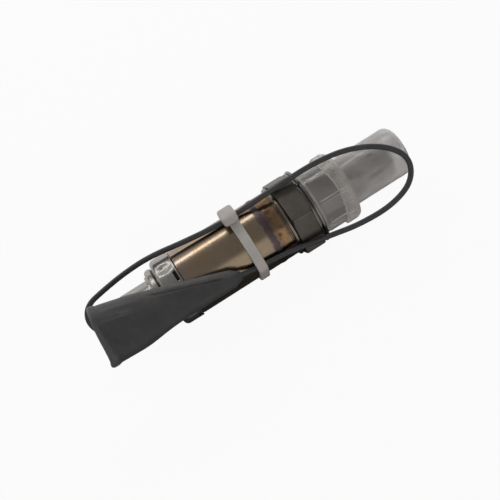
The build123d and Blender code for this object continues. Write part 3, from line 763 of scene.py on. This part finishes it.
def boot_relief(share, u, v, w, h, up, across):
    """The rubber's wave, its raised upper edge with a crease under it, two short ridges and the lip."""
    wave = noise.noise(Vector((share * 5, u * 0.12, v * 0.2))) * 0.10
    lip = 0.28 * unit((share - 0.945) / 0.012)
    sag = 0.4 * bell(share - 0.72, 0.16)
    top = 0.45 * unit((share - 0.80) / 0.17)
    move = across * (lip * u / w + top * max(0.0, u / w) - sag * max(0.0, -u / w)) + up * (lip * v / h)
    if v <= 0:
        return move + up * wave * 0.3
    along = unit((0.62 - share) / 0.06) * unit((share - 0.02) / 0.08)
    edge = u - (w - 1.9)
    crease = 0.45 * bell(edge, 0.34) - 0.30 * unit(edge / 0.5)
    ridges = 0.42 * boot_ridges(share, u - w, 0.34, 0.38) * bell(share - 0.83, 0.10)
    return move + up * (wave - crease * along + ridges)


def boot_painted_sheen(vertex):
    """Painted highlight: how pale the rubber's upper side is, along its upper edge, on the ridges and on
    the lip.
    """
    x, y, z = UNLAY @ vertex.co / MM
    share = (BOOT_END_X - x) / BOOT_LENGTH
    middle, width, _ = boot_at(unit(share))
    if z <= middle[2] or share <= -0.05:
        return 0.0
    edge = y - middle[1] - width / 2
    band = 0.5 * unit((edge + 2.1) / 0.4) * unit((0.66 - share) / 0.06)
    upper = 0.32 * unit((edge + 5.5) / 2.5) * unit((share - 0.42) / 0.15)
    ridges = 0.55 * boot_ridges(share, edge, 0.4, 0.4) * bell(share - 0.82, 0.12)
    lip = 0.5 * unit((share - 0.955) / 0.01)
    speck = noise.noise(Vector((x * 0.5, y * 0.9, z * 0.3)))
    return min(1.0, max(band, upper, lip, ridges) * (1 + 0.5 * speck))


def boot_section(w, h):
    """A rectangle with rounded ends, its long sides cut into short parts."""
    r = h * 0.96
    ring = []
    for turn, (right, top) in enumerate(((1, 1), (-1, 1), (-1, -1), (1, -1))):
        for k in range(CORNER_POINTS):
            t = math.radians(90 * turn + 90 * k / (CORNER_POINTS - 1))
            ring.append((right * (w - r) + r * math.cos(t), top * (h - r) + r * math.sin(t)))
    section = []
    for (u, v), (u2, v2) in zip(ring, ring[1:] + ring[:1]):
        parts = SIDE_PARTS if math.hypot(u2 - u, v2 - v) > 0.15 * w else 1
        section += [(u + (u2 - u) * k / parts, v + (v2 - v) * k / parts) for k in range(parts)]
    return section


def boot_ring(share, inset, shift=0.0):
    """A ring square to the boot's middle line; near the mouth it leans."""
    centre, width, thick = boot_at(share)
    way = boot_at(min(1, share + 0.02))[0] - boot_at(max(0, share - 0.02))[0]
    way /= np.linalg.norm(way)
    across = np.array((0, 1.0, 0))
    across -= way * (across @ way)
    across /= np.linalg.norm(across)
    up = np.cross(across, way)
    if up[2] < 0:
        up = -up
    w, h = width / 2 - inset, thick / 2 - inset
    mouth = max(0.0, share - MOUTH_FROM) / MOUTH_OVER
    ring = []
    for u, v in boot_section(w, h):
        p = centre + across * u + up * v + way * shift
        if inset == 0:
            p = p + boot_relief(share, u, v, w, h, up, across)
        lean = 1.0 - 0.8 * max(0.0, u / w) ** 5 - 0.15 * max(0.0, -u / w)
        ring.append(tuple(p + way * ((1.1 * min(v, 0) / h + lean) * mouth)))
    return ring


def make_boot():
    rings = [boot_ring(k / (BOOT_RINGS - 1) * 0.988, 0) for k in range(BOOT_RINGS)]
    centre = boot_at(0)[0]
    neck = []
    for share, scale in ((1.0, 0.36), (0.96, 0.44), (0.75, 0.56), (0.5, 0.70), (0.25, 0.84)):
        middle = centre + (BOOT_TIP - centre) * share
        stretch = scale * np.array((1, 1, 1.12))
        neck.append([tuple(middle + (np.array(p) - centre) * stretch) for p in rings[0]])
    lip = ((0.12, -0.04), (0.4, 0.06), (BOOT_WALL - 0.4, 0.06), (BOOT_WALL - 0.12, -0.06))
    rings += [boot_ring(1.0, inset, shift) for inset, shift in lip]
    rings += [boot_ring(1 - 0.49 * k / (BORE_RINGS - 1), BOOT_WALL) for k in range(BORE_RINGS)]
    boot = loft("boot", neck + rings, SENSOR, "boot", 60)
    # The boot's upper side gets painted sheen.
    paint(boot, "painted_sheen", boot_painted_sheen)
    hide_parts("connector_boot")
    return boot


boot = make_boot()


# Cable tie

TIE_X, TIE_WIDTH, TIE_THICKNESS = -21.8, 2.9, 1.1
TIE_PARTS = 300
# From the strap outwards: height, width along the axis, length round it, corner radius
TIE_HEAD = ((0.0, 3.9, 4.2, 0.5), (0.5, 4.4, 4.6, 0.6), (1.0, 4.6, 4.7, 0.7), (2.5, 4.55, 4.65, 0.7),
            (2.95, 4.3, 4.4, 0.7), (3.15, 3.7, 3.9, 0.6))


def lead_cross(before):
    """Where the lead passes the tie, in the route's span after the point numbered before."""
    a, b = np.array(LEAD_ROUTE[before]), np.array(LEAD_ROUTE[before + 1])
    p = a + (b - a) * (TIE_X - a[0]) / (b[0] - a[0])
    return p[1], p[2]


def make_strap():
    """Follows the outline round the sleeve and both legs of the lead."""
    leg = LEAD_D / 2 + 0.12
    circles = [(0.0, 0.0, SLEEVE_R + 0.05), (*lead_cross(10), leg), (*lead_cross(24), leg)]
    half, thick = TIE_WIDTH / 2, TIE_THICKNESS
    section = rounded([(-half, 0, 0.12), (half, 0, 0.12), (half, thick, 0.32), (-half, thick, 0.32)], 3)
    rings = []
    for k in range(TIE_PARTS):
        a = TAU * k / TIE_PARTS
        y, z = math.cos(a), math.sin(a)
        cy, cz, r = max(circles, key=lambda c: c[0] * y + c[1] * z + c[2])
        rings.append([(TIE_X + x, cy + (r + t) * y, cz + (r + t) * z) for x, t in section])
    strap = loft("tie_strap", rings, SENSOR, "tie", 50, closed_loop=True)
    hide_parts("cable_tie")


def make_head():
    """The tie's head, which stands on the strap over one leg of the lead."""
    angle = from_z(42.0)[0]
    out = np.array((0, math.cos(angle), math.sin(angle)))
    side = np.array((0, -math.sin(angle), math.cos(angle)))
    base = np.array((TIE_X - 0.6, 0, 0)) + out * (SLEEVE_R + LEAD_D + TIE_THICKNESS / 2)
    rings = []
    for level, wide, tall, soft in TIE_HEAD:
        section = rounded([(-wide / 2, -tall / 2, soft), (wide / 2, -tall / 2, soft),
                           (wide / 2, tall / 2, soft), (-wide / 2, tall / 2, soft)], 5)
        rings.append([tuple(base + out * level + np.array((u, 0, 0)) + side * v) for u, v in section])
    loft("tie_head", rings, SENSOR, "tie", 50)


make_strap()
make_head()


# Cap

CAP_SKIRT_R, CAP_BAND_R, CAP_NARROW_R, CAP_WALL, CAP_END_X = 9.8, 10.75, 7.6, 0.8, 31.8
CAP_RIBS = from_z(-9.5, 8)
# Angle of a painted highlight line along the cap's narrow part.
CAP_GLINT_ANGLE = from_z(56.0)[0]


def cap_band_start(a):
    """The band's rear edge runs in a gentle wave round the cap."""
    return 8.1 - 1.0 * math.sqrt(math.cos(a) ** 2 + 0.01)


def band_and_ribs(x, r, a):
    """Raises the band's ring and the ribs along the cap's wide part."""
    if not 1.0 < x < 12.0 or r < CAP_SKIRT_R - 0.75:
        return x, r
    step = unit((x - cap_band_start(a) + 0.12) / 0.3)
    tail = unit((11.9 - x) / 1.5) ** 0.6
    top = r + (CAP_BAND_R - CAP_SKIRT_R) * step * tail
    side = unit((0.50 - nearest(a, CAP_RIBS) * CAP_SKIRT_R) / 0.14)
    ends = unit((x - 1.6) / 0.4) * unit((10.9 - x) / 0.6)
    rise = top + 0.12 - r if step > 0.5 else 0.3
    return x, max(top, r + rise * side * ends)


def cap_frost_and_glint(vertex):
    """How white the cap is: on the ribs' sides, the band's edge, the rim and the shoulder, and along a
    painted highlight line on the narrow part.
    """
    x, a, r = from_axis(vertex)
    band, outside = cap_band_start(a), r > CAP_SKIRT_R - 0.3
    across = nearest(a, CAP_RIBS) * CAP_SKIRT_R
    edges = (outside and 0.34 < across < 0.56 and 1.5 < x < 11.0) or (outside and abs(x - band) < 0.2)
    if edges or x < 1.0:
        return 1.0
    shoulder = 0.55 if band + 0.2 < x < 12.6 else 0.0
    # Painted highlight: a thin white line along the narrow part.
    glint = 0.8 if abs(angle_gap(a, CAP_GLINT_ANGLE)) < 0.02 and 12.3 < x < 22.0 else 0.0
    return max(shoulder, glint)


def make_cap():
    rear, wall, skirt, narrow = 0.15, CAP_WALL, CAP_SKIRT_R, CAP_NARROW_R
    profile = rounded([
        (rear, skirt - wall, 0.15), (rear, skirt + 0.15, 0.3), (0.9, skirt + 0.15, 0.3), (1.0, skirt),
        (11.6, skirt, 0.4), (12.1, narrow, 0.5), (CAP_END_X, narrow, 2.4), (CAP_END_X, 0),
        (CAP_END_X - wall, 0), (CAP_END_X - wall, narrow - wall, 1.6), (11.25, narrow - wall, 0.4),
        (11.25, skirt - wall, 0.8),
    ], 8)
    outline = profile[:next(i for i, p in enumerate(profile) if p[1] == 0)]
    profile = split_long(outline, 0.2) + profile[len(outline):]
    cap = lathe("cap", profile, CAP, "cap", 480, band_and_ribs, sharp=40)
    paint(cap, "frost_and_glint", cap_frost_and_glint)
    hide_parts("thread_cap")


make_cap()


# Solids that keep their own shape

KEPT = {
    "slotted_shield": "shield", "zirconia_thimble": "ceramic", "seat_washer": "inner",
    "talc_ring": "ceramic", "ceramic_tube": "ceramic", "contact_stem": "inner", "disc_spring": "inner",
    "vent_filter": "ptfe", "insulating_bush": "ceramic", "lead_clip": "inner", "lead_grommet": "grommet",
    "lead_inner_end": "lead", "lead_boot_end": "lead", "boot_receptacle": "tin",
}
for node, material in KEPT.items():
    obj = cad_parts[node]
    obj.data.materials.clear()
    obj.data.materials.append(MATERIALS[material])


# The lead's length

def lead_length():
    """The length of the lead's middle line, in metres."""
    probe = lead.data.copy()
    probe.bevel_depth = 0
    line = bpy.data.meshes.new_from_object(bpy.data.objects.new("probe", probe))
    points = [v.co for v in line.vertices]
    return sum((b - a).length for a, b in zip(points, points[1:]))


LEAD_LENGTH = lead_length()


# Floor, light and world. The camera sees a pale floor and a white room. Clear pieces show the floor
# pale too, polished ones show it pale only away from the sensor, and it throws little light on them.

FLOOR_HALF = 3.0
NEARER_FROM, NEARER_TO = -0.045, -0.075
FARTHER_FROM, FARTHER_TO = 0.0, 0.03
CAMERA_SHARE, METAL_SHARE = 0.93, 0.86


def make_floor():
    size, z = FLOOR_HALF, cad_low.z
    mesh = bpy.data.meshes.new("floor")
    corners = [(-size, -size, z), (size, -size, z), (size, size, z), (-size, size, z)]
    mesh.from_pydata(corners, [], [(0, 1, 2, 3)])
    floor = bpy.data.objects.new("floor", mesh)
    bpy.context.scene.collection.objects.link(floor)
    mat, g, bsdf = new_material("pale_floor")
    bsdf.inputs["Roughness"].default_value = 0.9
    bsdf.inputs["Specular IOR Level"].default_value = 0.0
    glow = g.add("Emission")
    glow.inputs["Color"].default_value = (1, 1, 1, 1)
    glow.inputs["Strength"].default_value = 1.0
    path = g.add("LightPath")
    camera = path.outputs["Is Camera Ray"]
    y = g.part_of(g.add("NewGeometry").outputs["Position"], "Y")
    # Near the sensor the floor is dark to mirrored and bounced rays: painted shade round the sensor.
    nearer = g.map_range(y, NEARER_TO, NEARER_FROM, 1.0, 0.0)
    farther = g.map_range(y, FARTHER_FROM, FARTHER_TO, 0.0, 1.0)
    away = g.calc("MAXIMUM", nearer, farther)
    under = g.ramp(away, [(0.0, (0.14, 0.14, 0.145)), (1.0, (0.5, 0.5, 0.5))])
    g.join(g.mix(camera, under, (0.86, 0.86, 0.86)), bsdf.inputs["Base Color"])
    pale = g.calc("ADD", g.times(away, 0.75), g.times(farther, 0.25))
    mirrored = g.times(path.outputs["Is Glossy Ray"], pale)
    seen = g.calc("MAXIMUM", mirrored, path.outputs["Is Transmission Ray"])
    share = g.calc("MAXIMUM", g.times(seen, METAL_SHARE), g.times(camera, CAMERA_SHARE))
    g.finish_with(g.mix_shaders(share, bsdf.outputs["BSDF"], glow.outputs["Emission"]))
    mesh.materials.append(mat)


def add_lamp(name, spot, target, size, power):
    data = bpy.data.lights.new(name, "AREA")
    data.shape = "RECTANGLE"
    data.size, data.size_y = size
    data.energy = power
    lamp = bpy.data.objects.new(name, data)
    bpy.context.scene.collection.objects.link(lamp)
    lamp.location = spot
    lamp.rotation_euler = (Vector(target) - Vector(spot)).to_track_quat("-Z", "Y").to_euler()


# Tone of the room round the sensor's axis, in degrees from the far side upwards; 90 is overhead
ROOM = (
    (-180, (0.8, 0.8, 0.8)), (-1, (0.8, 0.8, 0.8)), (1, (1.5, 1.47, 1.4)), (7, (1.5, 1.47, 1.4)),
    (11, (0.8, 0.79, 0.77)), (20, (0.72, 0.71, 0.70)), (30, (0.33, 0.33, 0.33)),
    (60, (0.28, 0.28, 0.28)), (131, (0.28, 0.28, 0.28)), (138, (0.80, 0.79, 0.78)),
    (179, (0.85, 0.84, 0.82)),
)


def make_world():
    world = bpy.data.worlds.new("room")
    bpy.context.scene.world = world
    g = Graph(world)
    parts = g.add("SeparateXYZ")
    g.join(g.add("TexCoord").outputs["Generated"], parts.inputs["Vector"])
    angle = g.calc("ARCTAN2", parts.outputs["Z"], parts.outputs["Y"])
    share = g.map_range(angle, -math.pi, math.pi, 0, 1)
    tone = g.ramp(share, [((degrees + 180) / 360, colour) for degrees, colour in ROOM])
    camera = g.add("LightPath").outputs["Is Camera Ray"]
    back = g.nodes["Background"]
    g.join(g.mix(camera, tone, (1.0, 1.0, 1.0)), back.inputs["Color"])
    back.inputs["Strength"].default_value = 1.0


make_floor()
add_lamp("window", (-0.02, 0.476, 0.486), (-0.02, 0, 0), (1.1, 0.08), 1.65)
make_world()

bpy.context.scene.view_settings.view_transform = "Standard"
